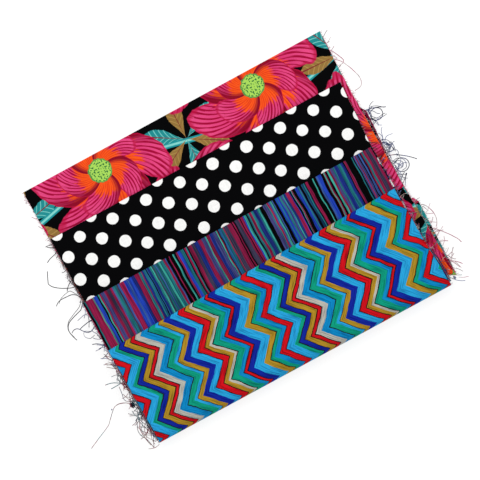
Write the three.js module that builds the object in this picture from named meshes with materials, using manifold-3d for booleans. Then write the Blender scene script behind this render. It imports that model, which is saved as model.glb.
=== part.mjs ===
// A stack of four quarter yard cuts of quilting cotton, lying on a table.
//
// Each cut is a long cloth, doubled along its length and then folded once across, so it has
// two thick legs that meet in a fold at its back. The four folded cuts lie in steps, so that
// a strip of each shows, and the front of the whole stack is turned under itself.
//
// Millimetres, +Z up. X runs across the cuts from raw edge to raw edge, Y runs from the
// turned front edge to the back fold, and the table is at Z = 0. The origin is on the table,
// in the middle of the stack. A cut is a quarter of a yard wide, 228.6, where it lies flat and
// square, and a little less or more where its layers have slipped.

import * as THREE from "three";
import { mergeVertices } from "three/addons/utils/BufferGeometryUtils.js";
import Module from "manifold-3d";

const wasm = await Module();
wasm.setup();
const { lerp, smoothstep, degToRad } = THREE.MathUtils;

// The cloth and how closely it lies
const clothThick = 1.0; // one leg: two layers of cotton with air between them
const legGap = 0.2; // between the two legs of one cut
const cutGap = 0.3; // between one cut and the next
const cutThick = 2 * clothThick + legGap;
const cutPitch = cutThick + cutGap;

// The stack
const stackDepth = 193.6; // from the front edge to the back fold of the lowest cut
const stepRamp = 14; // length of the slope where cloth comes down over an end below it
const stepClear = 2; // from such an end to the start of the slope
const acrossSteps = 8; // even ones, with a last narrow one beside the right raw edge
const evenShare = 0.968; // of the cloth's width, up to where that narrow one starts
const flareReach = 18; // how far back from the turned front a cut's flare dies out
const turnSteps = 8;
const underSteps = 3;
const foldSteps = 5;
const rampSteps = 4;
const tailSteps = 2;
const shortestStep = 1;
const longestStep = 20;
const loftShare = 0.03; // how unevenly the layers lie, as a share of their height
const loftAcross = 38;
const loftBack = 47;
const loftPhase = 0.6;

// The outermost yarns of the raw edges, which have come loose as a narrow strip
const looseWidth = 1.2;
const looseThick = 0.8;
const looseGap = 0.3;
const yarnThick = 0.45;
const yarnSides = 4;
const yarnRest = yarnThick / 2 + 0.02; // height of its middle where it lies on the table
const yarnStep = 2.4; // the most between two points of it
const shortYarns = 6; // on each strip, beside the long ones below
const shortRange = { heading: [-50, 50], length: [3.5, 8.5], curl: [-9, 9] };
const sagReach = 15; // how far out past the cloth they come down

// One row for each cut, from the innermost to the outermost. foldLeft and foldRight are how
// far its back fold lies from the front edge, at each raw edge. end is how far back it
// reaches underneath. flare is how far its turned front slackens forwards at its right raw
// edge, past the cloth that goes round it. In edges, run is the distance back from the front
// edge, or minus that distance for the part underneath, with the places of the sound cloth's
// edges there.
const cuts = [
  {
    name: "floral",
    colour: 0xd8437c,
    foldLeft: 193.0,
    foldRight: 193.6,
    end: 64,
    flare: 3,
    edges: [
      { run: 193, left: -114.3, right: 114.3 },
      { run: 156, left: -113.6, right: 113.5 },
      { run: 87, left: -113.9, right: 114.0 },
      { run: 0, left: -114.3, right: 117.3 },
      { run: -64, left: -115.0, right: 118.6 },
    ],
  },
  {
    name: "dot",
    colour: 0x101010,
    foldLeft: 156.3,
    foldRight: 156.7,
    end: 94,
    flare: 0,
    edges: [
      { run: 156, left: -113.0, right: 109.8 },
      { run: 108, left: -112.7, right: 108.0 },
      { run: 0, left: -113.0, right: 109.8 },
      { run: -94, left: -113.9, right: 112.1 },
    ],
  },
  {
    name: "stripe",
    colour: 0x2c4a8c,
    foldLeft: 107.9,
    foldRight: 108.2,
    end: 134.6,
    flare: 0,
    edges: [
      { run: 108, left: -114.3, right: 106.8 },
      { run: 76, left: -114.3, right: 107.7 },
      { run: 31, left: -113.9, right: 109.3 },
      { run: 20, left: -113.8, right: 111.6 },
      { run: 0, left: -113.7, right: 112.3 },
      { run: -91, left: -113.5, right: 114.8 },
      { run: -135, left: -113.7, right: 116.6 },
    ],
  },
  {
    name: "zigzag",
    colour: 0x2196c8,
    foldLeft: 71.5,
    foldRight: 75.9,
    end: 161,
    flare: 0,
    edges: [
      { run: 74, left: -114.3, right: 107.7 },
      { run: 32, left: -113.6, right: 109.1 },
      { run: 0, left: -113.0, right: 110.9 },
      { run: -161, left: -113.6, right: 112.5 },
    ],
  },
];

// One row for each loose strip. side is -1 for the left raw edge and 1 for the right one.
// under strips lie on the part of the cut that is turned underneath. from and to are
// distances back from the front edge.
const looseStrips = [
  { cut: "floral", side: -1, under: false, from: 98, to: 187 },
  { cut: "floral", side: 1, under: false, from: 14, to: 187 },
  { cut: "floral", side: 1, under: true, from: 12, to: 62 },
  { cut: "dot", side: -1, under: false, from: 82, to: 153 },
  { cut: "dot", side: 1, under: false, from: 82, to: 153 },
  { cut: "stripe", side: -1, under: false, from: 54, to: 105 },
  { cut: "stripe", side: 1, under: false, from: 54, to: 105 },
  { cut: "stripe", side: 1, under: true, from: 74, to: 132 },
  { cut: "zigzag", side: -1, under: false, from: 12, to: 68 },
  { cut: "zigzag", side: 1, under: false, from: 12, to: 71 },
  { cut: "zigzag", side: -1, under: true, from: 12, to: 58 },
];

// One row for each long loose yarn. back is where it leaves its strip. heading is its first
// direction in degrees, 0 being straight out and plus towards the back. bends has the length
// of each stretch of it, in turn, with the degrees that it turns there in each millimetre.
const longYarns = [
  { cut: "dot", side: -1, under: false, back: 111, heading: 80, bends: [[9, -8.5], [6, -1], [6, -8]] },
  {
    cut: "dot",
    side: -1,
    under: false,
    back: 120,
    heading: 8,
    bends: [[6, 3], [7, 1.5], [5, 5], [1.5, 35], [8, 0]],
  },
  { cut: "dot", side: -1, under: false, back: 125, heading: -20, bends: [[8, -5]] },
  { cut: "dot", side: -1, under: false, back: 147, heading: -60, bends: [[2.5, 20], [4, -3], [3, -4]] },
  { cut: "dot", side: -1, under: false, back: 150, heading: 30, bends: [[5, 2]] },
  {
    cut: "dot",
    side: -1,
    under: false,
    back: 109,
    heading: -50,
    bends: [[5, 0], [2, 18], [9, -0.5], [5, -8], [4, -9], [7, -3]],
  },
  { cut: "stripe", side: -1, under: false, back: 95, heading: -5, bends: [[9, -1]] },
  {
    cut: "stripe",
    side: -1,
    under: false,
    back: 90,
    heading: -45,
    bends: [[4, 10], [4, 14], [4, 0], [3.5, -16], [3, -14]],
  },
  { cut: "stripe", side: -1, under: false, back: 76, heading: 50, bends: [[8, -4]] },
  { cut: "zigzag", side: -1, under: false, back: 58, heading: 30, bends: [[7, 2]] },
  { cut: "zigzag", side: -1, under: false, back: 46, heading: 40, bends: [[7, -1], [7, -4]] },
  { cut: "zigzag", side: -1, under: false, back: 48, heading: -6, bends: [[10, 0.6]] },
  {
    cut: "zigzag",
    side: -1,
    under: false,
    back: 30,
    heading: 40,
    bends: [[7, -1], [6, -5], [5, -9], [10, -1], [2, 12], [19, 0]],
  },
  {
    cut: "zigzag",
    side: -1,
    under: false,
    back: 25,
    heading: -10,
    bends: [[5, -14], [6, 3], [4, -8], [11, -1]],
  },
  {
    cut: "floral",
    side: 1,
    under: false,
    back: 178.5,
    heading: -55,
    bends: [[10, -1.5], [3, -32], [3.4, 3]],
  },
  {
    cut: "floral",
    side: 1,
    under: false,
    back: 171.5,
    heading: -40,
    bends: [[6, -4], [12, -1], [6, -5], [5, -14], [3, 0]],
  },
  { cut: "stripe", side: 1, under: true, back: 131.5, heading: -6, bends: [[5, -3], [8, -1]] },
  { cut: "stripe", side: 1, under: true, back: 128.5, heading: 25, bends: [[3, 0], [24, -13.6]] },
  { cut: "stripe", side: 1, under: true, back: 107, heading: -28, bends: [[10, -7]] },
  { cut: "stripe", side: 1, under: true, back: 97, heading: -12, bends: [[6, -4], [13, -0.8]] },
  { cut: "stripe", side: 1, under: true, back: 91, heading: 20, bends: [[3.1, 0], [26, -12.2]] },
  { cut: "stripe", side: 1, under: true, back: 76.5, heading: 35, bends: [[7, 2]] },
  { cut: "floral", side: 1, under: true, back: 57.5, heading: -35, bends: [[3, -8], [9, -3.5], [8, -6]] },
  { cut: "floral", side: 1, under: true, back: 39.5, heading: -45, bends: [[16, -0.8], [5, -4]] },
  { cut: "floral", side: 1, under: true, back: 29.5, heading: -15, bends: [[5, -5]] },
  { cut: "floral", side: 1, under: true, back: 14, heading: 50, bends: [[4, 2], [6, -2]] },
  { cut: "floral", side: 1, under: false, back: 17, heading: -60, bends: [[10, -0.5]] },
  { cut: "floral", side: 1, under: false, back: 15, heading: -25, bends: [[9, -3]] },
];

// The turned front: every leg goes round one centre, at its own distance from it
const turnRadius = cuts.length * cutPitch - cutGap / 2;

const innerLeg = (level) => cutGap / 2 + level * cutPitch + clothThick / 2;
const outerLeg = (level) => innerLeg(level) + clothThick + legGap;

// How far cloth on top has come down, over the ends of the cuts turned underneath
function drop(back) {
  const slopes = cuts.map(({ end }) => smoothstep(back - end - stepClear, 0, stepRamp));
  return cutPitch * slopes.reduce((sum, share) => sum + share, 0);
}

// Three ways to place a point: back is its distance from the front edge, and depth its
// distance from the middle of the turned stack.
const onTop = (back, depth) => ({ back, height: turnRadius + depth - drop(back), run: back });
const underneath = (back, depth) => ({ back, height: turnRadius - depth, run: -back });
function roundFront(turn, depth) {
  return {
    back: turnRadius - depth * Math.sin(turn),
    height: turnRadius + depth * Math.cos(turn),
    run: turnRadius * Math.cos(turn),
  };
}

// Where an edge of a cut's sound cloth lies across the stack, at a run of the cut
function clothEdge(cut, side, run) {
  const key = side < 0 ? "left" : "right";
  const rows = cut.edges;
  const past = rows.findIndex((row) => row.run <= run);
  if (past === 0) return rows[0][key];
  if (past < 0) return rows.at(-1)[key];
  const [a, b] = [rows[past - 1], rows[past]];
  return lerp(a[key], b[key], (a.run - run) / (a.run - b.run));
}

// A point of a cut, moved forwards by its flare. u is its place across, 0 to 1
function flared(cut, u, point) {
  const across = Math.max(0, (u - evenShare) / (1 - evenShare));
  const near = 1 - smoothstep(point.back, turnRadius, turnRadius + flareReach);
  return { ...point, back: point.back - cut.flare * across * near };
}

// The layers don't lie quite evenly, while the table stays flat
function loft(x, back) {
  return 1 + loftShare * Math.sin(x / loftAcross + loftPhase) * Math.cos(back / loftBack);
}

function placed(x, { back, height }) {
  return new THREE.Vector3(x, back - stackDepth / 2, height * loft(x, back));
}

const spaced = (from, to, steps) => Array.from({ length: steps + 1 }, (_, i) => lerp(from, to, i / steps));
const acrossShares = [...spaced(0, evenShare, acrossSteps), 1];

// Distances back at which cloth on top needs a station, from a start to just short of an end:
// those on the slopes, with more between them wherever two lie far apart
function topStations(from, to) {
  const slopes = cuts
    .map(({ end }) => end + stepClear)
    .toSorted((a, b) => a - b)
    .flatMap((start) => spaced(start, start + stepRamp, rampSteps));
  const between = (back) => back > from + shortestStep && back < to - shortestStep;
  const stations = [from, ...slopes.filter(between)];
  return stations.flatMap((back, i) => {
    const last = i === 0 ? back : stations[i - 1];
    return spaced(last, back, Math.max(1, Math.ceil((back - last) / longestStep))).slice(1);
  });
}

// A sheet that follows stations, each a function from a place across it, 0 to 1, and one in
// its thickness, -0.5 to 0.5, to a point. It starts as a flat box that is then laid along them,
// with its columns at the given shares of its width.
function laidSheet(stations, shares) {
  const geometry = new THREE.BoxGeometry(1, 1, 1, shares.length - 1, stations.length - 1, 1);
  geometry.deleteAttribute("normal");
  geometry.deleteAttribute("uv");
  const position = geometry.getAttribute("position");
  for (let i = 0; i < position.count; i++) {
    const station = Math.round((position.getY(i) + 0.5) * (stations.length - 1));
    const share = shares[Math.round((position.getX(i) + 0.5) * (shares.length - 1))];
    position.setXYZ(i, ...stations[station](share, position.getZ(i)));
  }
  return mergeVertices(geometry, 1e-4);
}

// A cut, from its end underneath, round the front and along the top to its fold, and back
// the same way on the inner leg
function foldedCut(cut, level) {
  const [inner, outer] = [innerLeg(level), outerLeg(level)];
  const foldMiddle = (inner + outer) / 2;
  const foldRadius = (outer - inner) / 2;
  const foldAt = (u) => lerp(cut.foldLeft, cut.foldRight, u) - foldRadius - clothThick / 2;
  const lay = (place) => (u, w) => {
    const point = place(u, w);
    const x = lerp(clothEdge(cut, -1, point.run), clothEdge(cut, 1, point.run), u);
    return placed(x, flared(cut, u, point));
  };
  const shared = topStations(turnRadius, Math.min(foldAt(0), foldAt(1)));
  const tail = spaced(0, 1, tailSteps).slice(1);
  const top = [
    ...shared.slice(1).map((back) => () => back),
    ...tail.map((share) => (u) => lerp(shared.at(-1), foldAt(u), share)),
  ];
  const under = spaced(cut.end, turnRadius, underSteps).slice(0, -1);
  const turns = spaced(Math.PI, 0, turnSteps);
  const folds = spaced(Math.PI / 2, -Math.PI / 2, foldSteps).slice(1, -1);
  const outerDepth = (w) => outer + w * clothThick;
  const innerDepth = (w) => inner - w * clothThick;
  const stations = [
    ...under.map((back) => lay((u, w) => underneath(back, outerDepth(w)))),
    ...turns.map((turn) => lay((u, w) => roundFront(turn, outerDepth(w)))),
    ...top.map((backAt) => lay((u, w) => onTop(backAt(u), outerDepth(w)))),
    ...folds.map((angle) =>
      lay((u, w) => {
        const radius = foldRadius + w * clothThick;
        return onTop(foldAt(u) + radius * Math.cos(angle), foldMiddle + radius * Math.sin(angle));
      }),
    ),
    ...top.toReversed().map((backAt) => lay((u, w) => onTop(backAt(u), innerDepth(w)))),
    ...turns.toReversed().map((turn) => lay((u, w) => roundFront(turn, innerDepth(w)))),
    ...under.toReversed().map((back) => lay((u, w) => underneath(back, innerDepth(w)))),
  ];
  return laidSheet(stations, acrossShares);
}

function solidOf(geometry) {
  const merged = mergeVertices(geometry, 1e-4);
  return new wasm.Manifold(
    new wasm.Mesh({
      numProp: 3,
      vertProperties: merged.attributes.position.array,
      triVerts: new Uint32Array(merged.index.array),
    }),
  );
}

function geometryOf(solid) {
  const mesh = solid.getMesh();
  return new THREE.BufferGeometry()
    .setAttribute("position", new THREE.BufferAttribute(mesh.vertProperties, 3))
    .setIndex(new THREE.BufferAttribute(mesh.triVerts, 1));
}

// The same numbers in the same order on every run
function seededNumbers(seed) {
  let state = seed;
  return () => {
    state = (state * 1664525 + 1013904223) % 4294967296;
    return state / 4294967296;
  };
}

// Past the furthest strip on its side, a loose yarn sags until it lies on the table
function sagged(side, { x, y, z }) {
  const key = side < 0 ? "left" : "right";
  const furthest = Math.max(...cuts.flatMap(({ edges }) => edges.map((row) => side * row[key])));
  const out = Math.max(0, side * x - furthest - looseGap - looseWidth);
  return new THREE.Vector3(x, y, lerp(yarnRest, z, Math.exp(-((out / sagReach) ** 2))));
}

// A loose yarn leaves its strip, bends as it goes and sags
function yarn(strip, place, depth, { back, heading, bends }) {
  const cut = cuts.find(({ name }) => name === strip.cut);
  let x = clothEdge(cut, strip.side, strip.under ? -back : back) + strip.side * (looseGap + looseWidth / 2);
  let y = back;
  let direction = heading;
  const at = () => {
    const point = placed(x, place(Math.max(y, turnRadius), depth));
    return sagged(strip.side, point.setY(y - stackDepth / 2));
  };
  const points = [at()];
  for (const [length, curl] of bends) {
    const steps = Math.ceil(length / yarnStep);
    const stride = length / steps;
    for (let i = 0; i < steps; i++) {
      const halfway = degToRad(direction + (curl * stride) / 2);
      x += strip.side * stride * Math.cos(halfway);
      y += stride * Math.sin(halfway);
      direction += curl * stride;
      points.push(at());
    }
  }
  const section = new THREE.Shape(
    Array.from({ length: yarnSides }, (_, i) => {
      const angle = (2 * Math.PI * i) / yarnSides;
      return new THREE.Vector2(Math.cos(angle), Math.sin(angle)).multiplyScalar(yarnThick / 2);
    }),
  );
  const geometry = new THREE.ExtrudeGeometry(section, {
    extrudePath: new THREE.CatmullRomCurve3(points),
    steps: points.length - 1,
    bevelEnabled: false,
  });
  geometry.deleteAttribute("normal");
  geometry.deleteAttribute("uv");
  return solidOf(geometry);
}

// A loose strip with its short yarns and any long ones, as one solid
function looseEdge(strip, number) {
  const level = cuts.findIndex(({ name }) => name === strip.cut);
  const cut = cuts[level];
  const depth = strip.under ? innerLeg(level) : outerLeg(level);
  const place = strip.under ? underneath : onTop;
  const top = [...topStations(strip.from, strip.to), strip.to];
  const backs = strip.under ? spaced(strip.to, strip.from, underSteps) : top;
  const stations = backs.map((back) => (u, w) => {
    const point = place(back, depth + w * looseThick);
    const near = clothEdge(cut, strip.side, point.run) + strip.side * looseGap;
    const left = strip.side < 0 ? near - looseWidth : near;
    return placed(left + u * looseWidth, point);
  });
  const random = seededNumbers(number + 1);
  const drawn = ([low, high]) => lerp(low, high, random());
  const short = Array.from({ length: shortYarns }, (_, i) => ({
    back: lerp(strip.from, strip.to, (i + drawn([0.2, 0.8])) / shortYarns),
    heading: drawn(shortRange.heading),
    bends: [[drawn(shortRange.length), drawn(shortRange.curl)]],
  }));
  const long = longYarns.filter(
    (row) => row.cut === strip.cut && row.side === strip.side && row.under === strip.under,
  );
  return [...short, ...long].reduce(
    (solid, row) => solid.add(yarn(strip, place, depth, row)),
    solidOf(laidSheet(stations, [0, 1])),
  );
}

function mesh(name, geometry, colour) {
  const material = new THREE.MeshStandardMaterial({ color: colour, roughness: 0.9, metalness: 0 });
  const made = new THREE.Mesh(geometry, material);
  made.name = name;
  return made;
}

const stack = new THREE.Group();
cuts.forEach((cut, level) => {
  stack.add(mesh(`cut_${cut.name}`, foldedCut(cut, level), cut.colour));
});
looseStrips.forEach((strip, number) => {
  const { colour } = cuts.find(({ name }) => name === strip.cut);
  const where = `${strip.under ? "under_" : ""}${strip.side < 0 ? "left" : "right"}`;
  stack.add(mesh(`loose_${strip.cut}_${where}`, geometryOf(looseEdge(strip, number)), colour));
});

export default stack;
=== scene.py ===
"""A stack of four quarter yard cuts of quilting cotton, lying on a pale table.

Lengths are in millimetres until a mesh is made, and its points are then in metres. X runs
across the cuts from raw edge to raw edge, Y from the turned front edge to the back folds.
"""

import math
import random

import bpy
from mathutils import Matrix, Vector, noise


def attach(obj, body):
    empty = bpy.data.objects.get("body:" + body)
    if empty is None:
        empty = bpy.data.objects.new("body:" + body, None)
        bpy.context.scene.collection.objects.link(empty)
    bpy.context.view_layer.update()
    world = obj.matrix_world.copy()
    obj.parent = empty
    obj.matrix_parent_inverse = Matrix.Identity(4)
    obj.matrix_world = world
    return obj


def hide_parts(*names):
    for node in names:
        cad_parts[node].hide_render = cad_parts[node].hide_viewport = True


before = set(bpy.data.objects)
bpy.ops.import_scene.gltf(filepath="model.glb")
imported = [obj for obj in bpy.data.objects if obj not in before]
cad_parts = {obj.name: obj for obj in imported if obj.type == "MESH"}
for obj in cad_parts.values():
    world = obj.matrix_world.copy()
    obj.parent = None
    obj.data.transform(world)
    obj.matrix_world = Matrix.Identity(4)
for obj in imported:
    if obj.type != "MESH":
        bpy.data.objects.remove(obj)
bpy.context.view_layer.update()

MM = 0.001

# The cloth as it lies, with the same sizes as the solids that it stands for
LEG_THICK = 1.0
LEG_GAP = 0.2
CUT_GAP = 0.3
CUT_PITCH = 2 * LEG_THICK + LEG_GAP + CUT_GAP
STACK_DEPTH = 193.6
STEP_RAMP = 14.0
STEP_CLEAR = 2.0
LOFT_SHARE = 0.03
LOFT_ACROSS = 38.0
LOFT_BACK = 47.0
LOFT_PHASE = 0.6

# Past this share of its width a slack turned front lies further forward, by its cut's flare,
# and no longer does this far behind the turn
EVEN_SHARE = 0.968
FLARE_REACH = 18.0

# One layer of cotton, two of which fill a leg
CUT_WIDTH = 228.6
CLOTH_THICK = 0.36
LAYER_CLEAR = 0.01
LAYER_OFFSET = (LEG_THICK - CLOTH_THICK) / 2 - LAYER_CLEAR
FOLD_RADIUS = (LEG_THICK + LEG_GAP) / 2
RIPPLE_SHARE = 0.012
RIPPLE_LENGTH = 30.0
ROW_STEP = 3.6
COLUMNS = 60
TURN_ROWS = 14
FOLD_ROWS = 8
SMOOTH_ANGLE = math.radians(60)

# The cuts from the lowest up: where each one's back fold lies at its left and right edge,
# where it ends underneath, how far it flares, and where its raw edges lie along its run
CUTS = (
    dict(
        name="floral",
        fold=(193.0, 193.6),
        end=64.0,
        flare=3.0,
        edges=(
            dict(run=193, left=-114.3, right=114.3),
            dict(run=156, left=-113.6, right=113.5),
            dict(run=87, left=-113.9, right=114.0),
            dict(run=0, left=-114.3, right=117.3),
            dict(run=-64, left=-115.0, right=118.6),
        ),
    ),
    dict(
        name="dot",
        fold=(156.3, 156.7),
        end=94.0,
        flare=0.0,
        edges=(
            dict(run=156, left=-113.0, right=109.8),
            dict(run=108, left=-112.7, right=108.0),
            dict(run=0, left=-113.0, right=109.8),
            dict(run=-94, left=-113.9, right=112.1),
        ),
    ),
    dict(
        name="stripe",
        fold=(107.9, 108.2),
        end=134.6,
        flare=0.0,
        edges=(
            dict(run=108, left=-114.3, right=106.8),
            dict(run=76, left=-114.3, right=107.7),
            dict(run=31, left=-113.9, right=109.3),
            dict(run=20, left=-113.8, right=111.6),
            dict(run=0, left=-113.7, right=112.3),
            dict(run=-91, left=-113.5, right=114.8),
            dict(run=-135, left=-113.7, right=116.6),
        ),
    ),
    dict(
        name="zigzag",
        fold=(71.5, 75.9),
        end=161.0,
        flare=0.0,
        edges=(
            dict(run=74, left=-114.3, right=107.7),
            dict(run=32, left=-113.6, right=109.1),
            dict(run=0, left=-113.0, right=110.9),
            dict(run=-161, left=-113.6, right=112.5),
        ),
    ),
)

TURN_RADIUS = len(CUTS) * CUT_PITCH - CUT_GAP / 2
LEVELS = {cut["name"]: level for level, cut in enumerate(CUTS)}


def lerp(a, b, share):
    return a + (b - a) * share


def smoothstep(low, high, value):
    share = min(1.0, max(0.0, (value - low) / (high - low)))
    return share * share * (3 - 2 * share)


def inner_leg(level):
    """Distance of a cut's inner leg from the middle of the turned stack."""
    return CUT_GAP / 2 + level * CUT_PITCH + LEG_THICK / 2


def outer_leg(level):
    return inner_leg(level) + LEG_THICK + LEG_GAP


def drop(back):
    """How far cloth on top has come down, over the ends of the cuts turned underneath."""
    starts = [cut["end"] + STEP_CLEAR for cut in CUTS]
    return CUT_PITCH * sum(smoothstep(start, start + STEP_RAMP, back) for start in starts)


# A place is a distance from the front edge, a height, and a run of the cloth, which is the
# distance from the front edge on top and minus that distance underneath


def on_top(back, depth):
    return back, TURN_RADIUS + depth - drop(back), back


def underneath(back, depth):
    return back, TURN_RADIUS - depth, -back


def round_front(turn, depth):
    back = TURN_RADIUS - depth * math.sin(turn)
    return back, TURN_RADIUS + depth * math.cos(turn), TURN_RADIUS * math.cos(turn)


def cloth_edge(cut, side, run):
    """Where an edge of a cut's sound cloth lies across the stack."""
    key = "left" if side < 0 else "right"
    rows = cut["edges"]
    if run >= rows[0]["run"]:
        return rows[0][key]
    for a, b in zip(rows, rows[1:]):
        if run >= b["run"]:
            return lerp(a[key], b[key], (a["run"] - run) / (a["run"] - b["run"]))
    return rows[-1][key]


def flared(cut, u, place):
    """A place at a share across, moved forwards where the turned front is slack."""
    back, height, run = place
    across = max(0.0, (u - EVEN_SHARE) / (1 - EVEN_SHARE))
    near = 1 - smoothstep(TURN_RADIUS, TURN_RADIUS + FLARE_REACH, back)
    return back - cut["flare"] * across * near, height, run


def placed(x, place):
    """A place at x as a point, with the stack's gentle unevenness."""
    back, height, _ = place
    loft = 1 + LOFT_SHARE * math.sin(x / LOFT_ACROSS + LOFT_PHASE) * math.cos(back / LOFT_BACK)
    ripple = 1 + RIPPLE_SHARE * noise.noise(Vector((x, back, 0)) / RIPPLE_LENGTH)
    return Vector((x, back - STACK_DEPTH / 2, height * loft * ripple))


def spaced(start, end, steps):
    return [lerp(start, end, i / steps) for i in range(steps + 1)]


# The cloth of a cut


def folded_rows(cut, level):
    """The rows of a cut's cloth from one selvedge to the other, as (layer, place) pairs.

    Each place is a function of a share across. Layer 0 lies outermost and layer 3
    innermost, and a cut is doubled wrong sides together, so its print is on all that shows.
    """
    inner, outer = inner_leg(level), outer_leg(level)
    middle = (inner + outer) / 2
    end = cut["end"]

    def fold_at(u):
        return lerp(*cut["fold"], u) - FOLD_RADIUS - LEG_THICK / 2

    def rows_of(layer, way, stations):
        return [(layer, lambda u, station=station: way(u, station)) for station in stations]

    def leg(layer, depth):
        """One layer from its end underneath, round the front, to the back fold."""
        under = spaced(end, TURN_RADIUS, round((end - TURN_RADIUS) / ROW_STEP))
        turns = spaced(math.pi, 0, TURN_ROWS)[1:]
        top = spaced(0, 1, round((fold_at(0.5) - TURN_RADIUS) / ROW_STEP))[1:]

        def along_top(u, share):
            return on_top(lerp(TURN_RADIUS, fold_at(u), share), depth)

        return (
            rows_of(layer, lambda _, back: underneath(back, depth), under)
            + rows_of(layer, lambda _, turn: round_front(turn, depth), turns)
            + rows_of(layer, along_top, top)
        )

    bend = spaced(math.pi / 2, -math.pi / 2, FOLD_ROWS)[1:-1]

    def back_fold(layer, radius):
        def place(u, angle):
            back = fold_at(u) + radius * math.cos(angle)
            return on_top(back, middle + radius * math.sin(angle))

        return rows_of(layer, place, bend)

    def first_fold(layer):
        def place(_, angle):
            back = end + LAYER_OFFSET * math.cos(angle)
            return underneath(back, inner - LAYER_OFFSET * math.sin(angle))

        return rows_of(layer, place, bend)

    return (
        leg(0, outer + LAYER_OFFSET)
        + back_fold(0, FOLD_RADIUS + LAYER_OFFSET)
        + leg(3, inner - LAYER_OFFSET)[::-1]
        + first_fold(3)
        + leg(2, inner + LAYER_OFFSET)
        + back_fold(1, FOLD_RADIUS - LAYER_OFFSET)[::-1]
        + leg(1, outer - LAYER_OFFSET)[::-1]
    )


CORNER_WEAR = 2.2

# How far each layer's edges stand back from the outermost ones, left and right
SLIPS = ((0.0, 0.0), (0.5, 0.2), (0.2, 0.7), (0.0, 0.0))

# The waves of a raw edge, with how far apart its layers and its sides lie in the noise, and
# the share of a layer's width in which they die out
EDGE_WAVES = (
    dict(size=0.55, length=16.0, layers=7.3, sides=3.1),
    dict(size=0.3, length=2.5, layers=5.7, sides=9.4),
)
WAVE_SHARE = 0.025


def edge_wave(layer, side, back):
    """A raw edge isn't cut quite straight."""
    total = 0.0
    for wave in EDGE_WAVES:
        place = Vector((back / wave["length"], layer * wave["layers"], side * wave["sides"]))
        total += wave["size"] * noise.noise(place)
    return total


def worn_corner(cut, run):
    """How far an edge draws in at the rounded corners of an end underneath."""
    left = (cut["end"] + run) / CORNER_WEAR
    return CORNER_WEAR * (1 - math.sqrt(1 - (1 - left) ** 2)) if left < 1 else 0.0


def laid(cut, level, layer, u, place):
    """A point of a layer at a share across, and its distance across the flat cloth."""
    run = max(place[2], -cut["end"])
    ends = []
    for side, slip in zip((-1, 1), SLIPS[layer]):
        wave = edge_wave(layer + len(SLIPS) * level, side, run)
        ends.append((cloth_edge(cut, side, run) - side * (slip + worn_corner(cut, run)), wave))
    (left, left_wave), (right, right_wave) = ends
    x = lerp(left, right, u)
    x += left_wave * max(0.0, 1 - u / WAVE_SHARE)
    x += right_wave * max(0.0, 1 - (1 - u) / WAVE_SHARE)
    return placed(x, flared(cut, u, place)), x


def deselect():
    bpy.ops.object.select_all(action="DESELECT")


def make_active(piece):
    deselect()
    piece.select_set(True)
    bpy.context.view_layer.objects.active = piece


def apply_modifier(piece, kind, **settings):
    make_active(piece)
    modifier = piece.modifiers.new(kind.title(), kind)
    for key, value in settings.items():
        setattr(modifier, key, value)
    bpy.ops.object.modifier_apply(modifier=modifier.name)


def folded_cloth(cut, level):
    """The cloth of a cut as one sheet: a flat grid laid along its rows, then given its
    thickness. Its UV map is its flat size in metres, where along is the distance from the
    front edge on the outermost layer."""
    rows = folded_rows(cut, level)
    deselect()
    bpy.ops.mesh.primitive_grid_add(x_subdivisions=COLUMNS, y_subdivisions=len(rows) - 1, size=2)
    cloth = bpy.context.active_object
    cloth.name = f"{cut['name']}_cloth"
    shares = spaced(0, 1, COLUMNS)
    points, across = [], []
    for layer, place in rows:
        for u in shares:
            point, x = laid(cut, level, layer, u, place(u))
            points.append(point * MM)
            across.append(x)
    width = COLUMNS + 1
    middle = points[COLUMNS // 2 :: width]
    steps = [(b - a).length for a, b in zip(middle, middle[1:])]
    along = [sum(steps[:i]) for i in range(len(middle))]
    under_rows = round((cut["end"] - TURN_RADIUS) / ROW_STEP) + 1
    start_of_top = under_rows + TURN_ROWS - 1
    shift = TURN_RADIUS * MM - along[start_of_top]
    mesh = cloth.data
    mesh.vertices.foreach_set("co", [c for point in points for c in point])
    layer = mesh.uv_layers[0]
    layer.name = "flat"
    for loop in mesh.loops:
        row, column = divmod(loop.vertex_index, width)
        layer.data[loop.index].uv = (across[row * width + column] * MM, along[row] + shift)
    apply_modifier(
        cloth,
        "SOLIDIFY",
        thickness=CLOTH_THICK * MM,
        offset=0.0,
        material_offset=1,
        material_offset_rim=2,
    )
    make_active(cloth)
    bpy.ops.object.shade_smooth_by_angle(angle=SMOOTH_ANGLE)
    return cloth, along[-1]


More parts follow.
